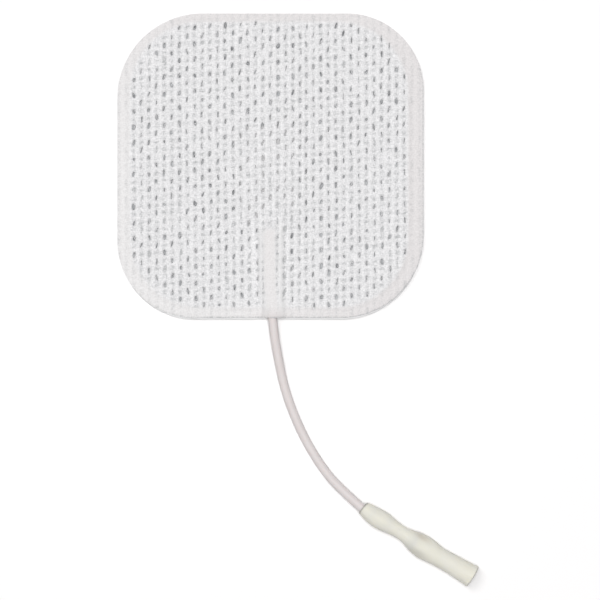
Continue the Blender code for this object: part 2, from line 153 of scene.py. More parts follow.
facing = add_node(tree, "ShaderNodeSeparateXYZ", {"Vector": surface.outputs["Normal"]})
# 1 on the face that points down, and 0 on the wall and the rims
downward = add_node(
    tree, "ShaderNodeMapRange", {"Value": facing.outputs["Z"], "From Min": -0.6, "From Max": -0.98}
)
clearness = add_node(
    tree, "ShaderNodeMapRange",
    {"Value": downward.outputs["Result"], "To Min": RIM_CLEARNESS, "To Max": FACE_CLEARNESS},
)
# How far a place lies from the straight parts of the film's outline: its corners' radius on the edge
straight_half = (FILM_HALF.x - FILM_CORNER_RADIUS, FILM_HALF.y - FILM_CORNER_RADIUS, 0.0)
way = place
for operation, operand in (
    ("SUBTRACT", (*FILM_MIDDLE, 0.0)), ("MULTIPLY", (1.0, 1.0, 0.0)), ("ABSOLUTE", None),
    ("SUBTRACT", straight_half), ("MAXIMUM", (0.0, 0.0, 0.0)),
):
    inputs = {0: way} if operand is None else {0: way, 1: operand}
    way = add_node(tree, "ShaderNodeVectorMath", inputs, operation=operation).outputs["Vector"]
film_reach = add_node(tree, "ShaderNodeVectorMath", {0: way}, operation="LENGTH")
past_film = add_node(
    tree, "ShaderNodeMapRange", {
        "Value": film_reach.outputs["Value"],
        "From Min": FILM_CORNER_RADIUS - FILM_EDGE_BLUR,
        "From Max": FILM_CORNER_RADIUS + FILM_EDGE_BLUR,
    },
)
film_black = add_node(
    tree, "ShaderNodeMix",
    {"Factor": tack.outputs["Fac"], "A": linear("#1F2023"), "B": linear("#333538")}, data_type="RGBA",
)
behind = add_node(
    tree, "ShaderNodeMix",
    {"Factor": past_film.outputs["Result"], "A": film_black.outputs["Result"], "B": linear("#DDDEE0")},
    data_type="RGBA",
)
gel_colour = add_node(
    tree, "ShaderNodeMix",
    {"Factor": downward.outputs["Result"], "A": linear("#F6F6F6"), "B": behind.outputs["Result"]},
    data_type="RGBA",
)
set_sockets(tree, shader, {
    "Base Color": gel_colour.outputs["Result"],
    "IOR": 1.36,
    "Subsurface Weight": 0.6,
    "Subsurface Radius": (1.0, 1.0, 1.0),
    "Subsurface Scale": 0.6 * MM,
    "Transmission Weight": clearness.outputs["Result"],
    "Roughness": gloss.outputs["Result"],
    "Normal": dimple.outputs["Normal"],
})

gel = bmesh.new()
bmesh.ops.create_grid(gel, x_segments=1, y_segments=1, size=PAD_SIZE)
cut_outline(gel, GEL_SETBACK, GEL_SLIP)
raised = bmesh.ops.extrude_face_region(gel, geom=gel.faces[:])["geom"]
gel_top = [part for part in raised if isinstance(part, bmesh.types.BMVert)]
bmesh.ops.translate(gel, verts=gel_top, vec=(0, 0, GEL_THICKNESS))
rims = [edge for edge in gel.edges if abs(edge.verts[0].co.z - edge.verts[1].co.z) < GEL_RIM]
bmesh.ops.bevel(
    gel, geom=rims, offset=GEL_RIM, segments=4, profile=0.5, affect="EDGES", material=-1,
)
bmesh.ops.recalc_face_normals(gel, faces=gel.faces[:])
add_piece(gel, "gel_face", gel_look, ["hydrogel"])


# Carbon film: the conductor that spreads the current, a vinyl film filled with carbon and cut a
# little smaller than the cloth. It is black and matt below, and a haze of dried adhesive on its
# upper side turns it grey where the cloth's slots show it.
CARBON_CLOUD_SIZE = 2.381 * MM
HAZE_STREAK_SIZE = 1.111 * MM
# The haze sets in between these heights, so it lies on the upper side alone
FILM_HAZE_FROM = 1.04 * MM
FILM_HAZE_TO = 1.05 * MM

# The eye gets a dull, clouded grey in the slots, and a matt black from below
film_look, tree, shader = new_material("carbon-filled vinyl film")
place = add_node(tree, "ShaderNodeTexCoord", {}).outputs["Object"]
height = add_node(tree, "ShaderNodeSeparateXYZ", {"Vector": place}).outputs["Z"]
coated = add_node(
    tree, "ShaderNodeMapRange", {"Value": height, "From Min": FILM_HAZE_FROM, "From Max": FILM_HAZE_TO}
)
cloud = add_node(
    tree, "ShaderNodeTexNoise", {"Vector": place, "Scale": 1 / CARBON_CLOUD_SIZE, "Detail": 3.0}
)
black = add_node(
    tree, "ShaderNodeMix",
    {"Factor": cloud.outputs["Fac"], "A": linear("#1E1F21"), "B": linear("#2C2D30")}, data_type="RGBA",
)
streak = add_node(
    tree, "ShaderNodeTexNoise", {"Vector": place, "Scale": 1 / HAZE_STREAK_SIZE, "Detail": 2.0}
)
patchy = add_node(
    tree, "ShaderNodeMapRange", {"Value": streak.outputs["Fac"], "From Min": 0.3, "From Max": 0.7}
)
haze = add_node(
    tree, "ShaderNodeMix",
    {"Factor": patchy.outputs["Result"], "A": linear("#595B5E"), "B": linear("#A8AAAC")},
    data_type="RGBA",
)
film_colour = add_node(
    tree, "ShaderNodeMix",
    {"Factor": coated.outputs["Result"], "A": black.outputs["Result"], "B": haze.outputs["Result"]},
    data_type="RGBA",
)
set_sockets(tree, shader, {"Base Color": film_colour.outputs["Result"], "Roughness": 0.55})


def refinish(node_name, material):
    """Gives a carried-over CAD node its material."""
    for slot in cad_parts[node_name].material_slots:
        slot.material = material


refinish("carbon_film", film_look)


# Lead: seven copper strands in soft vinyl insulation, 1.4 mm thick by name and a hair more as
# extruded. It is laid on the film and led out at the edge, drops to the floor in one easy curve and
# rises a little into the connector.
LEAD_RADIUS = 0.73 * MM
LEAD_EXIT = Vector((0.35, -25.0)) * MM
LEAD_ON_FILM = 1.78 * MM
LEAD_ON_FLOOR = 0.73 * MM
CONNECTOR_HEADING = math.radians(-32.0)
CONNECTOR_START = Vector((15.08, -55.87, 1.97)) * MM
LEAD_SIDES = 28
# In plan from the exit, in mm, and the share of the way up to the film and to the connector
LEAD_ROUTE = [
    (-0.52, 14.40, 1.00, 0.00),
    (-0.50, 10.94, 1.00, 0.00),
    (-0.46, 7.49, 1.00, 0.00),
    (-0.32, 3.74, 1.00, 0.00),
    (0.00, 0.00, 1.00, 0.00),
    (0.35, -3.00, 0.86, 0.00),
    (0.95, -6.50, 0.45, 0.00),
    (1.80, -10.50, 0.08, 0.00),
    (3.00, -14.30, 0.00, 0.00),
    (4.65, -18.20, 0.00, 0.00),
    (6.65, -21.90, 0.00, 0.04),
    (9.30, -25.70, 0.00, 0.38),
    (12.05, -28.50, 0.00, 0.80),
    (14.73, -30.87, 0.00, 1.00),
    (16.2565, -31.8238, 0.00, 1.00),
    (18.5462, -33.2546, 0.00, 1.00),
]
LEAD_PIECES = 8
MILKY_CLOUD_SIZE = 3.333 * MM
VINYL_GRAIN_SIZE = 0.1923 * MM
VINYL_GRAIN_DEPTH = 0.01 * MM


def curve_through(points, pieces):
    """Points of an even curve through the given ones, with so many pieces from each to the next."""
    ghosts = [2 * points[0] - points[1], *points, 2 * points[-1] - points[-2]]
    curve = []
    for before, start, end, after in zip(ghosts, ghosts[1:], ghosts[2:], ghosts[3:]):
        bend = 2 * before - 5 * start + 4 * end - after
        turn = 3 * start - before - 3 * end + after
        for index in range(pieces):
            t = index / pieces
            curve.append(start + 0.5 * t * ((end - before) + t * (bend + t * turn)))
    return [*curve, points[-1]]


stations = []
for across, ahead, film_share, connector_share in LEAD_ROUTE:
    rise = film_share * (LEAD_ON_FILM - LEAD_ON_FLOOR)
    rise += connector_share * (CONNECTOR_START.z - LEAD_ON_FLOOR)
    stations.append(Vector((
        LEAD_EXIT.x + across * MM, LEAD_EXIT.y + ahead * MM, LEAD_ON_FLOOR + rise
    )))
lead_path = curve_through(stations, LEAD_PIECES)

# The eye gets a milky, slightly pink satin, which light goes some way into. The grain is coarser
# than the real one, so that it shows
lead_look, tree, shader = new_material("soft pinkish vinyl insulation")
place = add_node(tree, "ShaderNodeTexCoord", {}).outputs["Object"]
cloud = add_node(
    tree, "ShaderNodeTexNoise", {"Vector": place, "Scale": 1 / MILKY_CLOUD_SIZE, "Detail": 2.0}
)
grain = add_node(
    tree, "ShaderNodeTexNoise", {"Vector": place, "Scale": 1 / VINYL_GRAIN_SIZE, "Detail": 2.0}
)
tint = add_node(
    tree, "ShaderNodeMix",
    {"Factor": cloud.outputs["Fac"], "A": linear("#D2CBCA"), "B": linear("#DAD4D3")}, data_type="RGBA",
)
satin = add_node(
    tree, "ShaderNodeMapRange", {"Value": cloud.outputs["Fac"], "To Min": 0.52, "To Max": 0.66}
)
skin = add_node(
    tree, "ShaderNodeBump",
    {"Height": grain.outputs["Fac"], "Strength": 0.2, "Distance": VINYL_GRAIN_DEPTH},
)
shader.subsurface_method = "RANDOM_WALK"
set_sockets(tree, shader, {
    "Base Color": tint.outputs["Result"],
    "Roughness": satin.outputs["Result"],
    "Normal": skin.outputs["Normal"],
    "Specular IOR Level": 0.3,
    "Subsurface Weight": 0.35,
    "Subsurface Radius": (1.0, 0.85, 0.8),
    "Subsurface Scale": 0.4 * MM,
})

lead = bmesh.new()
bmesh.ops.create_circle(lead, cap_ends=True, segments=LEAD_SIDES, radius=LEAD_RADIUS)
cap = lead.faces[:][0]
here = Matrix()
for index, point in enumerate(lead_path):
    before = lead_path[max(index - 1, 0)]
    after = lead_path[min(index + 1, len(lead_path) - 1)]
    there = Matrix.Translation(point) @ (after - before).to_track_quat("Z", "Y").to_matrix().to_4x4()
    if index:
        drawn = bmesh.ops.extrude_face_region(lead, geom=[cap])["geom"]
        # Each draw leaves the cap that it started from. The first one closes the lead's end
        if index > 1:
            bmesh.ops.delete(lead, geom=[cap], context="FACES_ONLY")
        cap = next(part for part in drawn if isinstance(part, bmesh.types.BMFace))
    bmesh.ops.transform(lead, matrix=there @ here.inverted(), verts=cap.verts[:])
    here = there
bmesh.ops.recalc_face_normals(lead, faces=lead.faces[:])
lead_piece = add_piece(lead, "lead", lead_look, ["lead_wire"])


# Strands: the lead's bared end, seven tinned copper strands that were drawn through a die, bared
# and fanned out on the film, under the patch and the cloth.
STRAND_COUNT = 7
DRAWN_SCRATCH_SIZE = Vector((0.1111, 2.0, 0.1111)) * MM

# The eye gets a bright tin with the copper's warmth, and fine scratches along the strand
strand_look, tree, shader = new_material("drawn tinned copper")
place = add_node(tree, "ShaderNodeTexCoord", {}).outputs["Object"]
drawn_out = add_node(
    tree, "ShaderNodeMapping", {"Vector": place, "Scale": [1 / size for size in DRAWN_SCRATCH_SIZE]}
)
scratch = add_node(tree, "ShaderNodeTexNoise", {"Vector": drawn_out.outputs["Vector"], "Scale": 1.0})
tin = add_node(
    tree, "ShaderNodeMix",
    {"Factor": scratch.outputs["Fac"], "A": linear("#C9B8AC"), "B": linear("#DAD6D2")},
    data_type="RGBA",
)
rub = add_node(
    tree, "ShaderNodeMapRange", {"Value": scratch.outputs["Fac"], "To Min": 0.22, "To Max": 0.45}
)
set_sockets(tree, shader, {
    "Base Color": tin.outputs["Result"], "Metallic": 1.0, "Roughness": rub.outputs["Result"],
})
for number in range(1, STRAND_COUNT + 1):
    refinish(f"conductor_strand_{number}", strand_look)


# Patch: a strip of thin grey polyester tape, stuck over the bare strands to hold them down and
# keep them from the cloth.
TAPE_CLOUD_SIZE = 2.0 * MM

# The eye gets a smooth mid grey, which shows in the cloth's slots as paler spots than the film's
patch_look, tree, shader = new_material("thin polyester tape")
place = add_node(tree, "ShaderNodeTexCoord", {}).outputs["Object"]
cloud = add_node(
    tree, "ShaderNodeTexNoise", {"Vector": place, "Scale": 1 / TAPE_CLOUD_SIZE, "Detail": 2.0}
)
tape = add_node(
    tree, "ShaderNodeMix",
    {"Factor": cloud.outputs["Fac"], "A": linear("#7E7D7E"), "B": linear("#9A999A")}, data_type="RGBA",
)
set_sockets(tree, shader, {"Base Color": tape.outputs["Result"], "Roughness": 0.4})
refinish("lead_patch", patch_look)


# Cloth: the pad's white back, an apertured non-woven that water jets have pushed into upright ribs
# with rows of small slots, each row set half a step from the next. It is stuck down over the film,
# pressed flat at its die-cut edge, and pulled tight over the lead, where its slots have closed.
COLUMN_START = -22.34 * MM
COLUMN_PITCH = 1.242 * MM
ROW_START = 1.22 * MM
ROW_STEP = 1.303 * MM
ROW_RISE = 0.084 * MM
COLUMN_CELLS = 6
ROW_CELLS = 5
FIRST_COLUMN = -3
LAST_COLUMN = 40
FIRST_ROW = -23.5
LAST_ROW = 19.5
# How far the columns stray from their even pitch, in mm, the columns between which that sets in and
# ends again, and whether only the pad's lower part has it, where the lead has drawn them together
COLUMN_STRAYS = [
    (-0.52, (20, 25), None, False),
    (0.28, (0, 9), (16, 17.2), True),
    (-0.22, (17, 19), (20, 24), True),
    (0.13, (22, 26), None, True),
]
COLUMN_WANDER = 0.05
LOWER_PART = (-22 * MM, 5 * MM)
SLOT_COLUMNS = 37
SLOT_ROWS = range(-24, 21)
# Of the columns, the even ones are strong up to this one, and the odd ones past it
EVEN_STRONG_TO = 12
STRONG_SLOTS = 1.12
WEAK_SLOTS = 0.86
COLUMN_SPREAD = 0.07
# Half the slots' width and length in mm: usual, spread, least and most. Then the usual lean and its
# spread in degrees, and how far a slot strays, in columns and rows
SLOT_HALF_WIDTH = (0.150, 0.036, 0.085, 0.24)
SLOT_HALF_LENGTH = (0.43, 0.08, 0.24, 0.60)
SLOT_LEAN = (4.0, 9.0)
SLOT_STRAY = (0.03, 0.05)
SLOT_ROUGHNESS = 0.22
SLOT_HALF_ROWS = 0.3
SLOT_INSET = 0.12 * MM
COVERED_UNDER = 0.10
# The lead's tent squeezes the slots beside and past it, and has pulled the ones to its right open
SQUEEZED_BESIDE = 1.7 * MM
SQUEEZED_PAST = 1.9 * MM
SQUEEZED_WIDTH = 0.65
SQUEEZED_LENGTH = 0.75
PULLED_BESIDE = 3.0 * MM
PULLED_PAST = 4.5 * MM
PULLED_WIDTH = 1.75
BURIED_SHIFT = 0.52 * MM
BURIED_BEND = 8 * MM
# The cloth steps up over the film and the patch between these distances inside their edges
FILM_STEP = (-0.7 * MM, -0.05 * MM)
PATCH_MIDDLE = Vector((-0.17, -1.30)) * MM
PATCH_HALF = Vector((4.75, 7.90)) * MM
PATCH_CORNER_RADIUS = 1 * MM
PATCH_STEP = (-2.2 * MM, -0.05 * MM)
UNDER_BORDER = 0.93 * MM
UNDER_FILM_PART = 1.08 * MM
UNDER_PATCH_PART = 1.32 * MM
UNDER_LEAD_PART = 2.53 * MM
CLOTH_THICKNESS = 0.43 * MM
# The pattern's forms, with sides, places and spreads in columns and rows from a slot's middle
RIB_HEIGHT = 0.11 * MM
RIB_SIDE = (0.16, 0.5)
BRIDGE_HEIGHT = 0.10 * MM
BRIDGE_ROW = 0.52
BRIDGE_SPREAD = 0.20
THIN_SPOT_DIP = 0.07 * MM
THIN_SPOT_SPREAD = (0.30, 0.20)
LUMP_HEIGHT = 0.03 * MM
LUMP_SIZE = 0.8 * MM
TENT_CREST = 0.35 * MM
TENT_LEFT = 2.1 * MM
TENT_RIGHT = 2.9 * MM
TENT_END = -10.7 * MM
TENT_RUN_OUT = 2.4 * MM
SMOOTH_HALF_WIDTH = 0.95 * MM
SMOOTH_FADE = 0.25
SMOOTH_END_FADE = 0.8 * MM
SLOTLESS_OVER = 0.3
SLOT_FUNNEL = 0.12 * MM
SLOT_RIM = (0.9, 1.6)
EDGE_PRESS = 0.12 * MM
EDGE_PRESS_WIDTH = 0.6 * MM
LOWER_EDGE_SETBACK = 0.27 * MM
RIM_MERGE = 0.03 * MM
CLOTH_MIDDLE = Vector((0, LOWER_EDGE_SETBACK / 2))
CLOTH_HALF = Vector((PAD_SIZE, PAD_SIZE - LOWER_EDGE_SETBACK)) / 2
BORDER_PATTERN = 0.3
PATTERN_EDGE = (-0.5 * MM, 0.6 * MM)
BORDER_TONE_EDGE = (-0.4 * MM, 0.3 * MM)
# How grey the cloth looks where it is thin or creased, and how dark the painted shade is along its
# lower and right cut edges, the sides away from the light. Thin spots and creases have a usual share
# of that, and a part that varies
VALLEY_GREY = 0.13
VALLEY_SIDE = (0.12, 0.36)
THIN_SPOT_GREY = 1.10
THIN_SPOT_SHARES = (0.5, 0.9)
OPEN_SLOT_GREY = 0.30
COVERED_SLOT_GREY = 0.95
CREASE_GREY = 0.40
CREASE_SHARES = (0.55, 0.8)
CREASE_SPREAD = (0.22, 0.55)
PAINTED_EDGE_SHADE = 0.75
PAINTED_EDGE_SHADE_WIDTH = 0.25 * MM
PAINTED_EDGE_SHADE_TURN = 0.35
# Painted shade with a brownish tint round the lead's exit, under the cloth's lifted edge: how dark,
# and its spread across and along
EXIT_SHADE = 0.45
EXIT_SHADE_SPREAD = (2.2 * MM, 1.3 * MM)


def smooth(value, start, end):
    """From 0 at start to 1 at end, with no kinks."""
    share = min(max((value - start) / (end - start), 0.0), 1.0)
    return share * share * (3 - 2 * share)


def inside_by(point, middle, half, radius):
    """How far a point lies inside a rectangle with rounded corners, negative outside it."""
    over = Vector((
        abs(point.x - middle.x) - half.x + radius, abs(point.y - middle.y) - half.y + radius
    ))
    outer = Vector((max(over.x, 0.0), max(over.y, 0.0))).length
    return radius - outer - min(max(over.x, over.y), 0.0)


def lead_x(y):
    """Where the buried lead's centreline is across the pad, at that place along it."""
    return LEAD_EXIT.x - BURIED_SHIFT * smooth(y, LEAD_EXIT.y, LEAD_EXIT.y + BURIED_BEND)


def cloth_place(column, row):
    """Where a point of the pattern is on the pad, seen from above."""
    low = 1 - smooth(ROW_START + row * ROW_STEP, *LOWER_PART)
    shift = 0.0
    for stray, sets_in, ends, only_low in COLUMN_STRAYS:
        strayed = (low if only_low else 1.0) * stray * smooth(column, *sets_in)
        shift += strayed * (1 - smooth(column, *ends)) if ends else strayed
    wander = COLUMN_WANDER * noise.noise(Vector((column * 1.3, row * 0.12, 5.0)))
    return Vector((
        COLUMN_START + column * COLUMN_PITCH + (shift + wander) * MM,
        ROW_START + row * ROW_STEP + column * ROW_RISE,
    ))


def on_strip(x, y):
    """1 on the smooth strip over the lead, fading to 0 beside it and past its end."""
    beside = 1 - smooth(
        abs(x - lead_x(y)),
        (1 - SMOOTH_FADE) * SMOOTH_HALF_WIDTH, (1 + SMOOTH_FADE) * SMOOTH_HALF_WIDTH,
    )
    return beside * (1 - smooth(y, TENT_END, TENT_END + SMOOTH_END_FADE))


chance = random.Random(23)


def jet_size(usual, spread, least, most):
    """One slot's size, as the water jets happened to make it."""
    return min(max(chance.gauss(usual, spread), least), most)


slots = {}
for column in range(SLOT_COLUMNS):
    strong = (column % 2 == 0) == (column <= EVEN_STRONG_TO)
    vigour = chance.gauss(STRONG_SLOTS if strong else WEAK_SLOTS, COLUMN_SPREAD)
    for row in SLOT_ROWS:
        if (column + row) % 2:
            continue
        width = vigour * jet_size(*SLOT_HALF_WIDTH)
        length = jet_size(*SLOT_HALF_LENGTH)
        lean = math.radians(chance.gauss(*SLOT_LEAN))
        nudge = [chance.gauss(0, stray) for stray in SLOT_STRAY]
        cover = chance.random()
        point = cloth_place(column, row)
        depth = inside_by(point, FILM_MIDDLE, FILM_HALF, FILM_CORNER_RADIUS)
        to_right = point.x - lead_x(point.y)
        past_tent = point.y - TENT_END
        if depth < SLOT_INSET or on_strip(point.x, point.y) > SLOTLESS_OVER:
            continue
        if abs(to_right) < SQUEEZED_BESIDE and past_tent < SQUEEZED_PAST:
            width, length, cover = SQUEEZED_WIDTH * width, SQUEEZED_LENGTH * length, 0.0
        elif 0 < to_right < PULLED_BESIDE and past_tent < PULLED_PAST:
            width, cover = PULLED_WIDTH * width, 0.0
        slots[column, row] = (width, length, lean, nudge, cover)


def nearest_slot(column, row):
    """The pattern's slot place nearest to a point, and the way to the point from there."""
    at_column = round(column)
    at_row = at_column % 2 + 2 * round((row - at_column % 2) / 2)
    return (at_column, at_row), column - at_column, row - at_row


def in_open_slot(key, beside, ahead, slack):
    """Whether a point of the pattern lies in a slot that no fibres cover."""
    near = abs(beside) < 1 / COLUMN_CELLS + slack and abs(ahead) < SLOT_HALF_ROWS + slack
    return near and key in slots and slots[key][4] > COVERED_UNDER


cloth = bmesh.new()
bmesh.ops.create_grid(
    cloth,
    x_segments=(LAST_COLUMN - FIRST_COLUMN) * COLUMN_CELLS,
    y_segments=round((LAST_ROW - FIRST_ROW) * ROW_CELLS),
    size=0.5,
)
bmesh.ops.scale(cloth, verts=cloth.verts[:], vec=(LAST_COLUMN - FIRST_COLUMN, LAST_ROW - FIRST_ROW, 1))
bmesh.ops.translate(
    cloth, verts=cloth.verts[:],
    vec=((LAST_COLUMN + FIRST_COLUMN) / 2, (LAST_ROW + FIRST_ROW) / 2, 0),
)
holes = []
for face in cloth.faces:
    middle = face.calc_center_median()
    if in_open_slot(*nearest_slot(middle.x, middle.y), slack=0.0):
        holes.append(face)
bmesh.ops.delete(cloth, geom=holes, context="FACES")

# Each open slot's rim is drawn onto its own oval, and then the pattern is laid out on the pad
pattern_column = cloth.verts.layers.float.new("pattern_column")
pattern_row = cloth.verts.layers.float.new("pattern_row")
thinness_and_edge_shade = cloth.verts.layers.float.new("thinness_and_edge_shade")
warmth = cloth.verts.layers.float.new("warmth")
flank_painted_light = cloth.verts.layers.float.new("flank_painted_light")
exit_shade = cloth.verts.layers.float.new("exit_shade")
for vert in cloth.verts:
    key, beside, ahead = nearest_slot(vert.co.x, vert.co.y)
    if in_open_slot(key, beside, ahead, slack=0.01):
        width, length, lean, nudge, cover = slots[key]
        angle = math.atan2(ahead / SLOT_HALF_ROWS, beside * COLUMN_CELLS)
        roughness = noise.noise(Vector((vert.co.x * 3.1, vert.co.y * 3.7, 1.0)))
        rough = 1 + SLOT_ROUGHNESS * roughness
        oval = Vector((width * math.cos(angle) * rough * MM, length * math.sin(angle) * rough * MM))
        oval.rotate(Matrix.Rotation(-lean, 2))
        vert.co.x = key[0] + oval.x / COLUMN_PITCH + nudge[0]
        vert.co.y = key[1] + oval.y / ROW_STEP + nudge[1]
    vert[pattern_column], vert[pattern_row] = vert.co.xy
for vert in cloth.verts:
    vert.co.xy = cloth_place(*vert.co.xy)

cut_outline(cloth, 0.0, lower_setback=LOWER_EDGE_SETBACK)
rim_verts = [vert for vert in cloth.verts if vert.is_boundary]
bmesh.ops.remove_doubles(cloth, verts=rim_verts, dist=RIM_MERGE)


def under_side(x, y):
    """The cloth's lower face: how high it steps over film, patch and lead, and how much painted light
    whitens it on the tent's flanks.
    """
    point = Vector((x, y))
    on_film = smooth(inside_by(point, FILM_MIDDLE, FILM_HALF, FILM_CORNER_RADIUS), *FILM_STEP)
    on_patch = smooth(inside_by(point, PATCH_MIDDLE, PATCH_HALF, PATCH_CORNER_RADIUS), *PATCH_STEP)
    height = UNDER_BORDER + on_film * (UNDER_FILM_PART - UNDER_BORDER)
    height += on_patch * (UNDER_PATCH_PART - UNDER_FILM_PART)
    foot = TENT_RIGHT if x > lead_x(y) else TENT_LEFT
    beside = min(max((abs(x - lead_x(y)) - TENT_CREST) / (foot - TENT_CREST), 0.0), 1.0)
    bell = 0.5 + 0.5 * math.cos(math.pi * beside)
    raised_here = 1 - smooth(y, TENT_END, TENT_END + TENT_RUN_OUT)
    lifted = height + bell * raised_here * (UNDER_LEAD_PART - height)
    return lifted, 4 * bell * (1 - bell) * raised_here


raised = bmesh.ops.extrude_face_region(cloth, geom=cloth.faces[:])["geom"]
top_side = {part for part in raised if isinstance(part, bmesh.types.BMVert)}
for vert in cloth.verts:
    x, y = vert.co.xy
    height, vert[flank_painted_light] = under_side(x, y)
    if vert not in top_side:
        vert.co.z = height
        continue
    key, beside, ahead = nearest_slot(vert[pattern_column], vert[pattern_row])
    point = Vector((x, y))
    from_film_edge = inside_by(point, FILM_MIDDLE, FILM_HALF, FILM_CORNER_RADIUS)
    over_film = smooth(from_film_edge, *PATTERN_EDGE)
    lively = (BORDER_PATTERN + (1 - BORDER_PATTERN) * over_film) * (1 - on_strip(x, y))
    corner_radius = CORNER_RADII[1 if x > 0 else -1, 1 if y > 0 else -1]
    from_edge = inside_by(point, CLOTH_MIDDLE, CLOTH_HALF, corner_radius)
    pressed = 1 - smooth(from_edge, 0, EDGE_PRESS_WIDTH)
    # A rib stands between the columns, a bridge closes each slot's ends, and between the ends of one
    # slot and the next is a thin spot
    rib = smooth(abs(beside), *RIB_SIDE)
    bridge = math.exp(-((abs(ahead) - BRIDGE_ROW) / BRIDGE_SPREAD) ** 2) * (1 - rib)
    spread_beside, spread_ahead = THIN_SPOT_SPREAD
    thin_spot = math.exp(-((abs(ahead) - 1) / spread_ahead) ** 2 - (beside / spread_beside) ** 2)
    lump = noise.noise(Vector((x, y, 0)) / LUMP_SIZE)
    vert.co.z = height + CLOTH_THICKNESS - EDGE_PRESS * pressed
    vert.co.z += lively * (
        RIB_HEIGHT * rib + BRIDGE_HEIGHT * bridge - THIN_SPOT_DIP * thin_spot + LUMP_HEIGHT * lump
    )
    cover = 0.0
    if key in slots:
        width, length, lean, nudge, covered = slots[key]
        over = Vector(((beside - nudge[0]) * COLUMN_PITCH, (ahead - nudge[1]) * ROW_STEP)) / MM
        over.rotate(Matrix.Rotation(lean, 2))
        way_out = math.hypot(over.x / width, over.y / length)
        cover = 1 - smooth(way_out, *SLOT_RIM)
        vert.co.z -= SLOT_FUNNEL * cover
        cover *= COVERED_SLOT_GREY if covered <= COVERED_UNDER else OPEN_SLOT_GREY
    # No two thin spots or creases are the same, and painted shade darkens the cut edge to the right
    # and below, the sides away from the light
    spot_place = Vector((key[0] * 2.3, key[1] * 1.7 + math.copysign(0.6, ahead), 9.0))
    thin_spot *= THIN_SPOT_SHARES[0] + THIN_SPOT_SHARES[1] * noise.noise(spot_place)
    valley = VALLEY_GREY * (1 - smooth(abs(beside), *VALLEY_SIDE))
    crease_place = Vector((key[0] * 1.9, key[1] * 0.7, 4.0))
    creased = CREASE_SHARES[0] + CREASE_SHARES[1] * noise.noise(crease_place)
    crease_beside, crease_ahead = CREASE_SPREAD
    crease = math.exp(-((beside / crease_beside) ** 2) - (ahead / crease_ahead) ** 4)
    crease *= CREASE_GREY * creased * (1 - over_film)
    # Painted shade: a grey line along the lower and right cut edges, away from the light
    line = PAINTED_EDGE_SHADE * (1 - smooth(from_edge, 0, PAINTED_EDGE_SHADE_WIDTH))
    line *= smooth((x - y) / PAD_SIZE, 0.0, PAINTED_EDGE_SHADE_TURN)
    pattern_grey = lively * (valley + THIN_SPOT_GREY * thin_spot + cover)
    vert[thinness_and_edge_shade] = min(1.0, max(0.0, pattern_grey + crease + line))
    # Painted shade, tinted brownish, round the lead's exit
    exit_shade_across, exit_shade_ahead = EXIT_SHADE_SPREAD
    from_exit = Vector(((x - LEAD_EXIT.x) / exit_shade_across, (y - LEAD_EXIT.y) / exit_shade_ahead))
    vert[exit_shade] = EXIT_SHADE * math.exp(-from_exit.length_squared)
    vert[warmth] = max(on_strip(x, y), 1 - smooth(from_film_edge, *BORDER_TONE_EDGE))
bmesh.ops.recalc_face_normals(cloth, faces=cloth.faces[:])

FIBRE_ACROSS = 0.1786 * MM
FIBRE_ALONG = 0.4348 * MM
FIBRE_THROUGH = 0.3333 * MM
FUZZ_DEPTH = 0.04 * MM
# Painted shade: the warm tone of the border and the strip turns greyer and pinker towards the right
# and the top, away from the light
FALLOFF_TOWARDS = (1.0, 0.6, 0.0)
FALLOFF_FROM = -24 * MM
FALLOFF_TO = 4 * MM
# Painted light on the tent's flanks, which whitens them against the shade of their slope
TENT_FLANK_LIGHT = 0.6

# The eye gets a soft, dull white of fibres that lie every way. A real fibre is 0.015 mm thick, too
# fine to show, so they are drawn as thick as a pixel. The cloth is greyer where it is thin, and warmer
# on its border and the strip. Painted shade turns that warm tone greyer and pinker towards the right
# and the top, and lays a grey line along the lower and right cut edges. Painted light whitens the
# tent's flanks over the lead against their shade, and painted shade with a brownish tint darkens the
# cloth round the lead's exit
cloth_look, tree, shader = new_material("white spunlace non-woven")
place = add_node(tree, "ShaderNodeTexCoord", {}).outputs["Object"]
thin = add_node(tree, "ShaderNodeAttribute", {}, attribute_name="thinness_and_edge_shade").outputs["Fac"]
upright = add_node(
    tree, "ShaderNodeMapping",
    {"Vector": place, "Scale": (1 / FIBRE_ACROSS, 1 / FIBRE_ALONG, 1 / FIBRE_THROUGH)},
)
level = add_node(
    tree, "ShaderNodeMapping",
    {"Vector": place, "Scale": (1 / FIBRE_ALONG, 1 / FIBRE_ACROSS, 1 / FIBRE_THROUGH)},
)
up_fibre = add_node(
    tree, "ShaderNodeTexNoise", {"Vector": upright.outputs["Vector"], "Scale": 1.0, "Detail": 3.0}
)
side_fibre = add_node(
    tree, "ShaderNodeTexNoise", {"Vector": level.outputs["Vector"], "Scale": 1.0, "Detail": 3.0}
)
fibre = add_node(
    tree, "ShaderNodeMath", {0: up_fibre.outputs["Fac"], 1: side_fibre.outputs["Fac"]},
    operation="ADD",
)
fibre_share = add_node(
    tree, "ShaderNodeMapRange", {"Value": fibre.outputs["Value"], "From Min": 0.75, "From Max": 1.25}
)
white = add_node(
    tree, "ShaderNodeMix",
    {"Factor": fibre_share.outputs["Result"], "A": linear("#CDCDCE"), "B": linear("#EEEDEE")},
    data_type="RGBA",
)
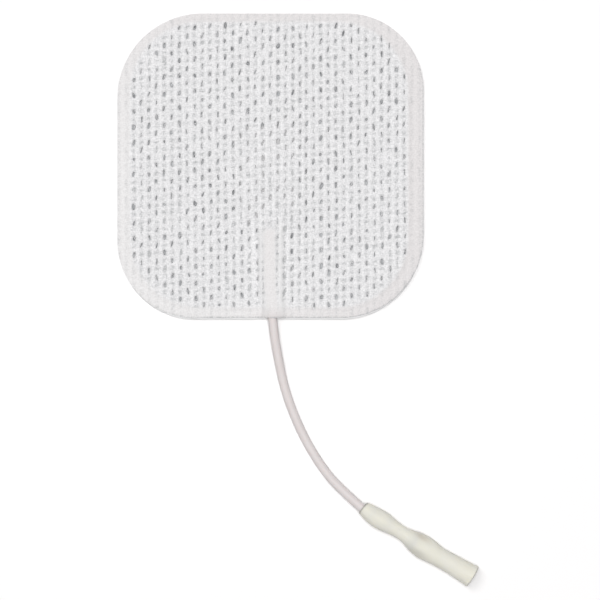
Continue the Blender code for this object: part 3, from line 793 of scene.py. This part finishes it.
# Painted shade, greyer and pinker towards the right and the top
corner = add_node(
    tree, "ShaderNodeVectorMath", {0: place, 1: FALLOFF_TOWARDS}, operation="DOT_PRODUCT"
)
painted_falloff = add_node(
    tree, "ShaderNodeMapRange",
    {"Value": corner.outputs["Value"], "From Min": FALLOFF_FROM, "From Max": FALLOFF_TO},
)
pale = add_node(
    tree, "ShaderNodeMix",
    {"Factor": fibre_share.outputs["Result"], "A": linear("#DAD8D8"), "B": linear("#E7E6E6")},
    data_type="RGBA",
)
pinkish = add_node(
    tree, "ShaderNodeMix",
    {"Factor": fibre_share.outputs["Result"], "A": linear("#D3D0D0"), "B": linear("#E1DEDE")},
    data_type="RGBA",
)
warm = add_node(
    tree, "ShaderNodeMix",
    {"Factor": painted_falloff.outputs["Result"], "A": pale.outputs["Result"], "B": pinkish.outputs["Result"]},
    data_type="RGBA",
)
laid_on = add_node(tree, "ShaderNodeAttribute", {}, attribute_name="warmth").outputs["Fac"]
base = add_node(
    tree, "ShaderNodeMix",
    {"Factor": laid_on, "A": white.outputs["Result"], "B": warm.outputs["Result"]},
    data_type="RGBA",
)
# Painted light: the tent's flanks over the lead are whitened against their shade
flank_lit = add_node(tree, "ShaderNodeAttribute", {}, attribute_name="flank_painted_light").outputs["Fac"]
flank_light_share = add_node(
    tree, "ShaderNodeMath", {0: flank_lit, 1: TENT_FLANK_LIGHT}, operation="MULTIPLY"
)
flank_lightened = add_node(
    tree, "ShaderNodeMix",
    {"Factor": flank_light_share.outputs["Value"], "A": base.outputs["Result"], "B": linear("#FAF9F9")},
    data_type="RGBA",
)
# Painted shade with a brownish tint round the lead's exit
exit_shade_share = add_node(tree, "ShaderNodeAttribute", {}, attribute_name="exit_shade").outputs["Fac"]
exit_shaded = add_node(
    tree, "ShaderNodeMix", {"Factor": exit_shade_share, "A": flank_lightened.outputs["Result"], "B": linear("#C9BFBD")},
    data_type="RGBA",
)
gappy = add_node(
    tree, "ShaderNodeMapRange",
    {"Value": fibre.outputs["Value"], "From Min": 0.8, "From Max": 1.2, "To Min": 1.5, "To Max": 0.5},
)
thin_share = add_node(
    tree, "ShaderNodeMath", {0: thin, 1: gappy.outputs["Result"]}, operation="MULTIPLY", use_clamp=True
)
cloth_colour = add_node(
    tree, "ShaderNodeMix",
    {"Factor": thin_share.outputs["Value"], "A": exit_shaded.outputs["Result"], "B": linear("#B0B1B2")},
    data_type="RGBA",
)
fuzz = add_node(
    tree, "ShaderNodeBump",
    {"Height": fibre.outputs["Value"], "Strength": 0.5, "Distance": FUZZ_DEPTH},
)
set_sockets(tree, shader, {
    "Base Color": cloth_colour.outputs["Result"],
    "Roughness": 0.92,
    "Sheen Weight": 0.2,
    "Normal": fuzz.outputs["Normal"],
})
cloth_piece = add_piece(
    cloth, "cloth_back", cloth_look, ["backing_cloth"], sharp_over=60
)

# A few fibres still cross each open slot, from wall to wall. A real one is 0.015 mm thick, and they
# are drawn thicker than that so that they show
SLOT_FIBRE_RADIUS = 0.018 * MM
SLOT_FIBRE_COUNTS = (0, 1, 1, 2, 3, 4)
SLOT_FIBRE_REACH = 1.3
SLOT_FIBRE_POINTS = 5
SLOT_FIBRE_SKEW = 0.6
SLOT_FIBRE_LEVELS = (0.18, 0.52)
SLOT_FIBRE_BOW = (0.05, 0.05, 0.02)
SLOT_FIBRE_THICKNESS = (0.7, 1.4)

fibre_lines = bpy.data.curves.new("slot_fibres", "CURVE")
fibre_lines.dimensions = "3D"
fibre_lines.bevel_depth = SLOT_FIBRE_RADIUS
fibre_lines.bevel_resolution = 0
fibre_lines.use_fill_caps = True
for (column, row), (width, length, lean, nudge, cover) in slots.items():
    if cover <= COVERED_UNDER:
        continue
    centre = cloth_place(column + nudge[0], row + nudge[1])
    floor_level = under_side(*centre)[0]
    for number in range(chance.choice(SLOT_FIBRE_COUNTS)):
        start_angle = chance.uniform(0, 2 * math.pi)
        end_angle = start_angle + math.pi + chance.gauss(0, SLOT_FIBRE_SKEW)
        ends = []
        for angle in (start_angle, end_angle):
            end = Vector((width * math.cos(angle), length * math.sin(angle)))
            end = end * SLOT_FIBRE_REACH * MM
            end.rotate(Matrix.Rotation(-lean, 2))
            level = floor_level + CLOTH_THICKNESS * chance.uniform(*SLOT_FIBRE_LEVELS)
            ends.append(Vector((centre.x + end.x, centre.y + end.y, level)))
        bow = Vector([chance.gauss(0, spread) for spread in SLOT_FIBRE_BOW]) * MM
        thickness = chance.uniform(*SLOT_FIBRE_THICKNESS)
        line = fibre_lines.splines.new("POLY")
        line.points.add(SLOT_FIBRE_POINTS - 1)
        for index, stop in enumerate(line.points):
            t = index / (SLOT_FIBRE_POINTS - 1)
            stop.co = (*(ends[0].lerp(ends[1], t) + bow * 4 * t * (1 - t)), 1.0)
            stop.radius = thickness
fibre_object = bpy.data.objects.new("slot_fibres", fibre_lines)
fibre_shape = bmesh.new()
fibre_shape.from_mesh(bpy.data.meshes.new_from_object(fibre_object))
bpy.data.objects.remove(fibre_object)
fibre_piece = add_piece(fibre_shape, "slot_fibres", cloth_look, [])


# Socket: sheet brass rolled into a tube round the lead and plated with nickel. From the lead's side
# it is an insulation crimp, a conductor crimp, a collar and a barrel that takes a 2 mm pin.
SOCKET_OUTSIDE = [
    (1.8, 1.18), (1.85, 1.23), (4.8, 1.23), (5.8, 0.78), (8.2, 0.78), (10.0, 1.60), (12.2, 1.60),
    (12.8, 1.28), (20.2, 1.28), (20.3, 1.20),
]
SOCKET_INSIDE = [
    (20.3, 1.12), (20.1, 1.03), (10.0, 1.03), (8.2, 0.43), (5.8, 0.43), (4.8, 0.78), (1.8, 0.78),
]
TURN_STEPS = 64
PLATING_CLOUD_SIZE = 1.429 * MM

# The eye gets a bright, slightly yellowish grey metal, rubbed in places
socket_look, tree, shader = new_material("nickel-plated rolled brass")
place = add_node(tree, "ShaderNodeTexCoord", {}).outputs["Object"]
cloud = add_node(
    tree, "ShaderNodeTexNoise", {"Vector": place, "Scale": 1 / PLATING_CLOUD_SIZE, "Detail": 4.0}
)
nickel = add_node(
    tree, "ShaderNodeMix",
    {"Factor": cloud.outputs["Fac"], "A": linear("#BDB7AC"), "B": linear("#DAD7CF")}, data_type="RGBA",
)
rub = add_node(
    tree, "ShaderNodeMapRange", {"Value": cloud.outputs["Fac"], "To Min": 0.18, "To Max": 0.36}
)
set_sockets(tree, shader, {
    "Base Color": nickel.outputs["Result"], "Metallic": 1.0, "Roughness": rub.outputs["Result"],
})


def turned(outline):
    """A closed outline of stations and radii in mm, turned about the connector's axis."""
    shape = bmesh.new()
    corners = [shape.verts.new((along * MM, 0, radius * MM)) for along, radius in outline]
    for first, second in zip(corners, corners[1:] + corners[:1]):
        shape.edges.new((first, second))
    bmesh.ops.spin(
        shape, geom=shape.verts[:] + shape.edges[:], cent=(0, 0, 0), axis=(1, 0, 0),
        angle=2 * math.pi, steps=TURN_STEPS, use_merge=True,
    )
    bmesh.ops.recalc_face_normals(shape, faces=shape.faces[:])
    return shape


connector_axis = Matrix.Translation(CONNECTOR_START) @ Matrix.Rotation(CONNECTOR_HEADING, 4, "Z")
socket = turned(SOCKET_OUTSIDE + SOCKET_INSIDE)
bmesh.ops.transform(socket, matrix=connector_axis, verts=socket.verts[:])
socket_piece = add_piece(socket, "pin_socket", socket_look, ["connector_socket"])
refinish("conductor_tail", strand_look)


# Sleeve: ivory tube shrunk over the socket and the lead's end. It follows the crimp, the collar and
# the barrel in soft swells, and its far end is cut square and flares a little round the pin's way in.
SLEEVE_OUTSIDE = [
    (0.0, 1.08), (0.3, 1.15), (0.7, 1.26), (1.5, 1.42), (3.0, 1.59), (4.2, 1.53), (5.2, 1.37),
    (6.3, 1.19), (7.4, 1.15), (8.4, 1.26), (9.3, 1.50), (10.4, 1.82), (11.6, 1.93), (12.8, 1.86),
    (14.2, 1.67), (15.4, 1.61), (17.2, 1.64), (19.2, 1.73), (20.6, 1.84), (21.1, 1.88),
]
SLEEVE_INSIDE = [
    (21.1, 1.52), (20.3, 1.40), (19.2, 1.36), (12.9, 1.36), (12.3, 1.65), (10.0, 1.65),
    (8.2, 0.86), (5.8, 0.86), (4.9, 1.29), (1.6, 1.29), (0.8, 0.88), (0.2, 0.80), (0.0, 0.86),
]
# How far the outside sits to the right of the axis, seen from the lead, by station
SLEEVE_LEAN = [
    (0.0, -0.10), (0.7, -0.08), (1.5, 0.01), (3.0, 0.04), (4.2, -0.02), (5.2, -0.01), (6.3, -0.02),
    (7.4, -0.01), (8.4, 0.01), (10.4, 0.09), (12.8, 0.07), (14.2, 0.10), (17.2, 0.0), (21.1, -0.08),
]
SLEEVE_SMOOTHING = 3
SLEEVE_RIM = 0.10 * MM
# Its first end was cut a little aslant, and both ends bow outwards. How far that reaches is in mm
SLEEVE_START_TILT = 0.12
SLEEVE_TILT_OVER = 2.5
SLEEVE_START_BOW = 0.18 * MM
SLEEVE_START_BOW_OVER = 1.5
SLEEVE_END_BOW = 0.06 * MM
SLEEVE_END_BOW_FROM = 19.5
# Slight dents from the shrinking, in mm, which go no deeper than the skin
SLEEVE_SKIN = 0.12
DENT_DEPTH = 0.055
DENT_LENGTH = 1.1
# Painted shade on the two cut ends, a contact shadow at the first and a dark rim at the far one: how
# dark, and the stations between which it fades or sets in
START_SHADE = 0.75
START_SHADE_FADE = (0.06, 0.30)
END_SHADE = 0.7
END_SHADE_RISE = (20.85, 21.08)
# Marks on the collar, painted shade on the belly's lower-left side and a brownish darker spot on its
# upper side: how dark, their place along and across, and their spread along and across
LOWER_BELLY_SHADE = (0.30, 11.2, -1.25, 1.7, 0.55)
UPPER_BELLY_SPOT = (0.45, 10.6, 1.3, 1.2, 0.42)
IVORY_CLOUD_SIZE = 2.632 * MM
SLEEVE_GRAIN_SIZE = 0.2778 * MM
SLEEVE_GRAIN_DEPTH = 0.02 * MM

# The eye gets a satin, faintly yellow ivory, which light goes some way into. The grain is coarser
# than the real one, so that it shows
sleeve_look, tree, shader = new_material("ivory shrunk polyolefin tube")
place = add_node(tree, "ShaderNodeTexCoord", {}).outputs["Object"]
cloud = add_node(
    tree, "ShaderNodeTexNoise", {"Vector": place, "Scale": 1 / IVORY_CLOUD_SIZE, "Detail": 3.0}
)
grain = add_node(
    tree, "ShaderNodeTexNoise", {"Vector": place, "Scale": 1 / SLEEVE_GRAIN_SIZE, "Detail": 3.0}
)
ivory = add_node(
    tree, "ShaderNodeMix",
    {"Factor": cloud.outputs["Fac"], "A": linear("#DBD9CD"), "B": linear("#E2E0D6")}, data_type="RGBA",
)
satin = add_node(
    tree, "ShaderNodeMapRange", {"Value": cloud.outputs["Fac"], "To Min": 0.58, "To Max": 0.72}
)
skin = add_node(
    tree, "ShaderNodeBump",
    {"Height": grain.outputs["Fac"], "Strength": 0.25, "Distance": SLEEVE_GRAIN_DEPTH},
)
# Painted shade: the cut ends' contact shadow and dark rims, and the shade on the belly's lower-left
# side
sleeve_shade_share = add_node(tree, "ShaderNodeAttribute", {}, attribute_name="sleeve_shade").outputs["Fac"]
sleeve_shaded = add_node(
    tree, "ShaderNodeMix", {"Factor": sleeve_shade_share, "A": ivory.outputs["Result"], "B": linear("#8E8D88")},
    data_type="RGBA",
)
# A brownish darker spot on the belly's upper side
brown_spot_share = add_node(tree, "ShaderNodeAttribute", {}, attribute_name="brown_spot").outputs["Fac"]
spotted = add_node(
    tree, "ShaderNodeMix", {"Factor": brown_spot_share, "A": sleeve_shaded.outputs["Result"], "B": linear("#BBAD99")},
    data_type="RGBA",
)
set_sockets(tree, shader, {
    "Base Color": spotted.outputs["Result"],
    "Roughness": satin.outputs["Result"],
    "Normal": skin.outputs["Normal"],
    "Specular IOR Level": 0.3,
    "Subsurface Weight": 0.5,
    "Subsurface Radius": (1.0, 0.95, 0.8),
    "Subsurface Scale": 0.5 * MM,
})


def mark_at(along, across, mark):
    """How dark a mark is at a place of the sleeve."""
    darkness, mark_along, mark_across, spread_along, spread_across = mark
    return darkness * math.exp(
        -(((along - mark_along) / spread_along) ** 2) - ((across - mark_across) / spread_across) ** 2
    )


outside = curve_through([Vector(station) for station in SLEEVE_OUTSIDE], SLEEVE_SMOOTHING)
swell = [tuple(station) for station in outside]
sleeve = turned(swell + SLEEVE_INSIDE)
for station, radius in (SLEEVE_OUTSIDE[0], SLEEVE_OUTSIDE[-1]):
    rim = [edge for edge in sleeve.edges if all(
        abs(vert.co.x / MM - station) < 1e-4 and abs(vert.co.yz.length / MM - radius) < 1e-3
        for vert in edge.verts
    )]
    bmesh.ops.bevel(
        sleeve, geom=rim, offset=SLEEVE_RIM, segments=3, profile=0.5, affect="EDGES", material=-1,
    )
sleeve_shade = sleeve.verts.layers.float.new("sleeve_shade")
brown_spot = sleeve.verts.layers.float.new("brown_spot")
start_radius = SLEEVE_OUTSIDE[0][1]
sleeve_length, end_radius = SLEEVE_OUTSIDE[-1]
for vert in sleeve.verts:
    along, across = vert.co.x / MM, vert.co.y / MM
    # Painted shade at the cut ends and on the belly's lower-left side
    vert[sleeve_shade] = START_SHADE * (1 - smooth(along, *START_SHADE_FADE))
    vert[sleeve_shade] += END_SHADE * smooth(along, *END_SHADE_RISE) + mark_at(along, across, LOWER_BELLY_SHADE)
    vert[brown_spot] = mark_at(along, across, UPPER_BELLY_SPOT)
    start_bow = SLEEVE_START_BOW * (1 - (across / start_radius) ** 2)
    end_bow = SLEEVE_END_BOW * (1 - (across / end_radius) ** 2)
    vert.co.x += SLEEVE_START_TILT * vert.co.y * (1 - smooth(along, 0, SLEEVE_TILT_OVER))
    vert.co.x -= start_bow * (1 - smooth(along, 0, SLEEVE_START_BOW_OVER))
    vert.co.x += end_bow * smooth(along, SLEEVE_END_BOW_FROM, sleeve_length)
    skin_at = next(radius for station, radius in swell if station >= along - 1e-4)
    if vert.co.yz.length / MM < skin_at - SLEEVE_SKIN:
        continue
    dent = DENT_DEPTH * noise.noise(Vector((along, vert.co.y / MM, vert.co.z / MM)) / DENT_LENGTH)
    vert.co.yz *= 1 + dent / skin_at
    for (start, lean_from), (end, lean_to) in zip(SLEEVE_LEAN, SLEEVE_LEAN[1:]):
        if start <= along <= end:
            vert.co.y -= (lean_from + (lean_to - lean_from) * smooth(along, start, end)) * MM
            break
bmesh.ops.transform(sleeve, matrix=connector_axis, verts=sleeve.verts[:])
sleeve_piece = add_piece(sleeve, "shrunk_sleeve", sleeve_look, ["connector_sleeve"])


# Stage: a plain pale floor just under the gel, one soft light nearly overhead, a weaker one towards
# the upper left and an even pale surround, and a long lens straight above, as in the photograph.
FLOOR_DROP = 0.02 * MM
FLOOR_HALF = 1.5
SURROUND = 0.15
LIGHT_SIZE = 0.5
LIGHTS_AIM = Vector((0.0, -0.02, 0.0))
# Each light's place and its watts
LIGHTS = {
    "key light": ((0.03, -0.02, 1.25), 12.4),
    "side light": ((-0.33, 0.35, 1.10), 3.5),
}
SENSOR_WIDTH = 36.0
CAMERA_HEIGHT = 0.6
PICTURE_WIDTH = 98.04 * MM
PICTURE_MIDDLE = Vector((4.82, -21.81)) * MM
# The picture has that width at this height, which is the cloth's
MEASURED_AT = 1.5 * MM

floor_shape = bmesh.new()
bmesh.ops.create_grid(floor_shape, x_segments=1, y_segments=1, size=FLOOR_HALF)
bmesh.ops.translate(floor_shape, verts=floor_shape.verts[:], vec=(0, 0, -FLOOR_DROP))
floor_mesh = bpy.data.meshes.new("floor")
floor_shape.to_mesh(floor_mesh)
floor_shape.free()
floor_look, tree, shader = new_material("matt white floor")
set_sockets(
    tree, shader, {"Base Color": linear("#F4F3F3"), "Roughness": 0.9, "Specular IOR Level": 0.2}
)
floor_mesh.materials.append(floor_look)
floor = bpy.data.objects.new("floor", floor_mesh)
bpy.context.scene.collection.objects.link(floor)

world = bpy.data.worlds.new("pale surround")
world.use_nodes = True
surround = world.node_tree.nodes["Background"]
set_sockets(world.node_tree, surround, {"Color": linear("#FBFAFB"), "Strength": SURROUND})
bpy.context.scene.world = world

for name, (light_place, watts) in LIGHTS.items():
    light_data = bpy.data.lights.new(name, "AREA")
    light_data.shape = "DISK"
    light_data.size = LIGHT_SIZE
    light_data.energy = watts
    light = bpy.data.objects.new(name, light_data)
    light.location = light_place
    light.rotation_euler = (LIGHTS_AIM - light.location).to_track_quat("-Z", "Y").to_euler()
    bpy.context.scene.collection.objects.link(light)

camera_data = bpy.data.cameras.new("camera")
camera_data.sensor_width = SENSOR_WIDTH
camera_data.lens = SENSOR_WIDTH * (CAMERA_HEIGHT - MEASURED_AT) / PICTURE_WIDTH
camera = bpy.data.objects.new("camera", camera_data)
camera.location = (*PICTURE_MIDDLE, CAMERA_HEIGHT)
bpy.context.scene.collection.objects.link(camera)
bpy.context.scene.camera = camera
bpy.context.scene.view_settings.view_transform = "Standard"
